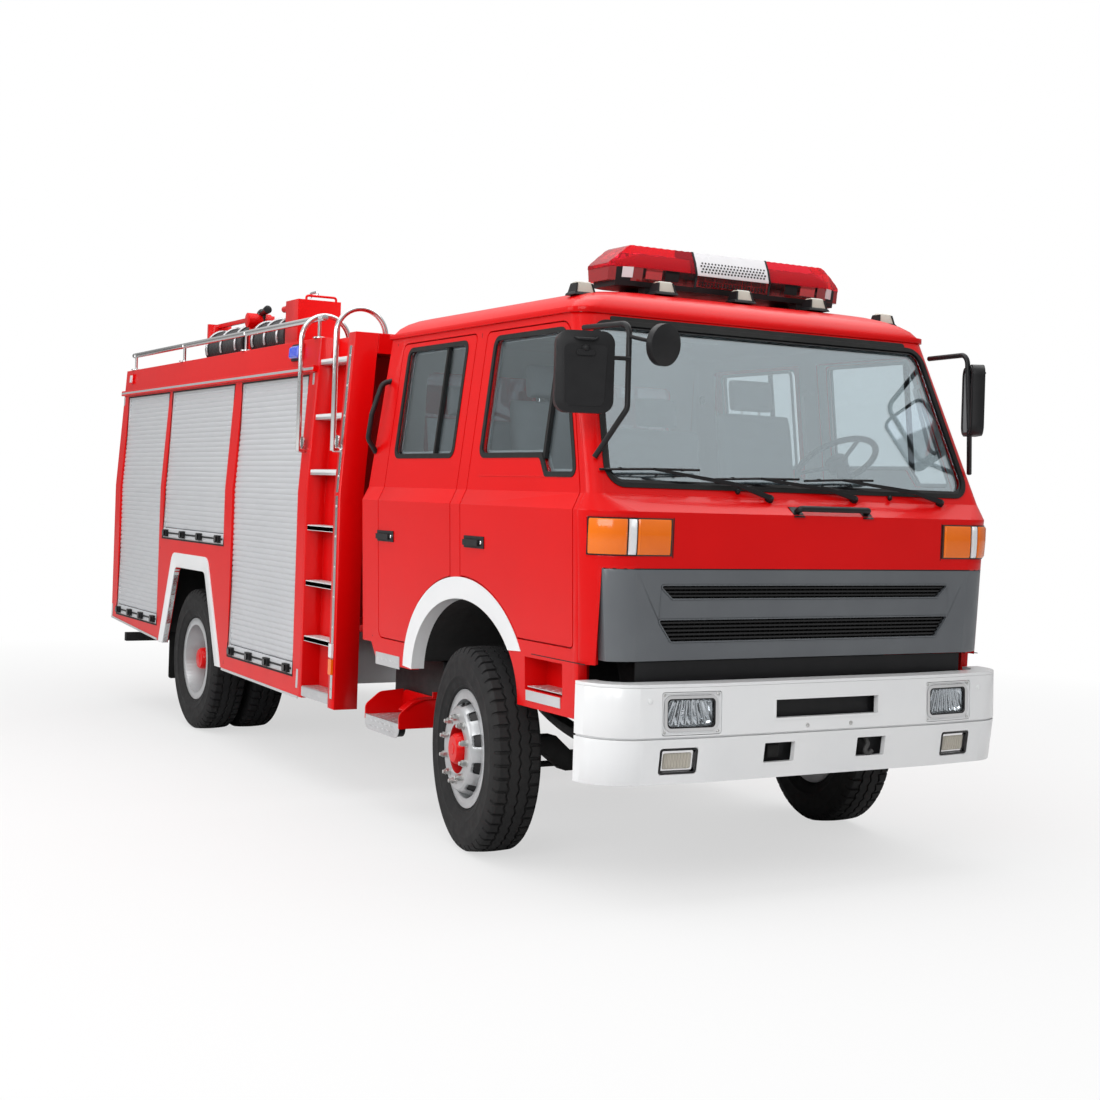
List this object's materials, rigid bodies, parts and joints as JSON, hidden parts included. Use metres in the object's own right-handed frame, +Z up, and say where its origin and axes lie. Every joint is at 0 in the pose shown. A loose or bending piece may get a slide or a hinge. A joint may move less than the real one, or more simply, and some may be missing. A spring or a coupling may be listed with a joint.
{
  "type": "fire truck",
  "caption": "Two-axle crew-cab fire engine with roller-shutter lockers, roof rails, hose rack, boarding ladders and a roof light bar; wheels turn, front wheels steer and cab doors open",
  "frame": {"origin": "on the ground, midway along the truck and on its centre plane", "axes": "+X forward, +Y to the truck's left, +Z up"},
  "size_m": [7.9, 2.6404, 3.0629],
  "materials": {
    "alu": "anodised slats",
    "black_plastic": "moulded black, matt",
    "chassis": "dark grey chassis paint, matt",
    "engine": "as cast",
    "fabric": "woven grey",
    "glass": "clear, faint green tint",
    "grey_plastic": "moulded grey, satin",
    "hose_rubber": "black hose, satin",
    "interior": "grained grey",
    "lamp": "clear and coloured lenses",
    "red": "signal red, glossy",
    "steel_tube": "polished stainless",
    "tread_alu": "bare chequered plate",
    "tyre": "moulded rubber, matt",
    "wheel_silver": "silver paint, satin"
  },
  "bodies": {
    "chassis": {"access_steps": "red", "battery_box": "black_plastic", "body_bulkhead": "red", "body_floor": "alu", "body_rear_wall": "red", "body_roof": "red", "body_sides": "red", "cab_floor": "interior", "cab_front_panel": "red", "cab_glass": "glass", "cab_rear_wall": "red", "cab_roof": "red", "cab_sides": "red", "dashboard": "interior", "engine_block": "engine", "frame_rails": "chassis", "front_axle": "chassis", "front_bumper": "red", "front_lamps": "lamp", "front_wheel_housings": "interior", "fuel_tank": "chassis", "grille_panel": "grey_plastic", "handrails": "steel_tube", "hose_rack": "red", "hose_rolls": "hose_rubber", "ladder_frames": "red", "ladder_treads": "tread_alu", "leaf_springs": "chassis", "light_bar": "red", "locker_floors": "alu", "marker_lamps": "lamp", "mirrors": "black_plastic", "propeller_shaft": "chassis", "rear_axle": "chassis", "rear_bumper": "chassis", "rear_wheel_housings": "chassis", "seats": "fabric", "shutters": "alu", "steering_wheel": "black_plastic", "step_wells": "tread_alu"},
    "knuckle_right": {"knuckle_right": "chassis"},
    "front_wheel_right": {"tyre_front_right": "tyre", "wheel_front_right": "wheel_silver"},
    "rear_wheels_right": {"tyres_rear_right": "tyre", "wheels_rear_right": "wheel_silver"},
    "front_door_right": {"front_door_right": "red", "front_door_glass_right": "glass"},
    "rear_door_right": {"rear_door_right": "red", "rear_door_glass_right": "glass"},
    "knuckle_left": {"knuckle_left": "chassis"},
    "front_wheel_left": {"tyre_front_left": "tyre", "wheel_front_left": "wheel_silver"},
    "rear_wheels_left": {"tyres_rear_left": "tyre", "wheels_rear_left": "wheel_silver"},
    "front_door_left": {"front_door_left": "red", "front_door_glass_left": "glass"},
    "rear_door_left": {"rear_door_left": "red", "rear_door_glass_left": "glass"},
    "tie_rod": {"tie_rod": "chassis"}
  },
  "joints": [
    {"name": "steer_right", "type": "hinge", "parent": "chassis", "child": "knuckle_right", "pos_m": [2.582, -0.96, 0.5], "axis": [0, 0, 1], "range_deg": [-27.5, 42.5]},
    {"name": "steer_left", "type": "hinge", "parent": "chassis", "child": "knuckle_left", "pos_m": [2.582, 0.96, 0.5], "axis": [0, 0, 1], "range_deg": [-27.5, 42.5]},
    {"name": "tie_rod_right_ball", "type": "hinge", "parent": "knuckle_right", "child": "tie_rod", "pos_m": [2.43328, -0.94042, 0.425], "axis": [0, 0, 1], "range_deg": [-42.5, 27.5]},
    {"name": "front_wheel_right_spin", "type": "hinge", "parent": "knuckle_right", "child": "front_wheel_right", "pos_m": [2.5666, -1.07699, 0.509], "axis": [0.1305, 0.9914, 0], "continuous": true},
    {"name": "rear_wheels_right_spin", "type": "hinge", "parent": "chassis", "child": "rear_wheels_right", "pos_m": [-1.918, -0.901, 0.509], "axis": [0, 1, 0], "continuous": true},
    {"name": "front_wheel_left_spin", "type": "hinge", "parent": "knuckle_left", "child": "front_wheel_left", "pos_m": [2.5974, 1.07699, 0.509], "axis": [0.1305, 0.9914, 0], "continuous": true},
    {"name": "rear_wheels_left_spin", "type": "hinge", "parent": "chassis", "child": "rear_wheels_left", "pos_m": [-1.918, 0.901, 0.509], "axis": [0, 1, 0], "continuous": true},
    {"name": "front_door_right_hinge", "type": "hinge", "parent": "chassis", "child": "front_door_right", "pos_m": [3.574, -1.195, 1.5], "axis": [0, 0, 1], "range_deg": [0, 70]},
    {"name": "rear_door_right_hinge", "type": "hinge", "parent": "chassis", "child": "rear_door_right", "pos_m": [2.324, -1.195, 1.5], "axis": [0, 0, 1], "range_deg": [0, 70]},
    {"name": "front_door_left_hinge", "type": "hinge", "parent": "chassis", "child": "front_door_left", "pos_m": [3.574, 1.195, 1.5], "axis": [0, 0, -1], "range_deg": [0, 70]},
    {"name": "rear_door_left_hinge", "type": "hinge", "parent": "chassis", "child": "rear_door_left", "pos_m": [2.324, 1.195, 1.5], "axis": [0, 0, -1], "range_deg": [0, 70]}
  ],
  "couplings": [
    {"joint": "steer_left", "follows": "steer_right", "ratio": 1},
    {"joint": "tie_rod_right_ball", "follows": "steer_right", "ratio": -1}
  ]
}
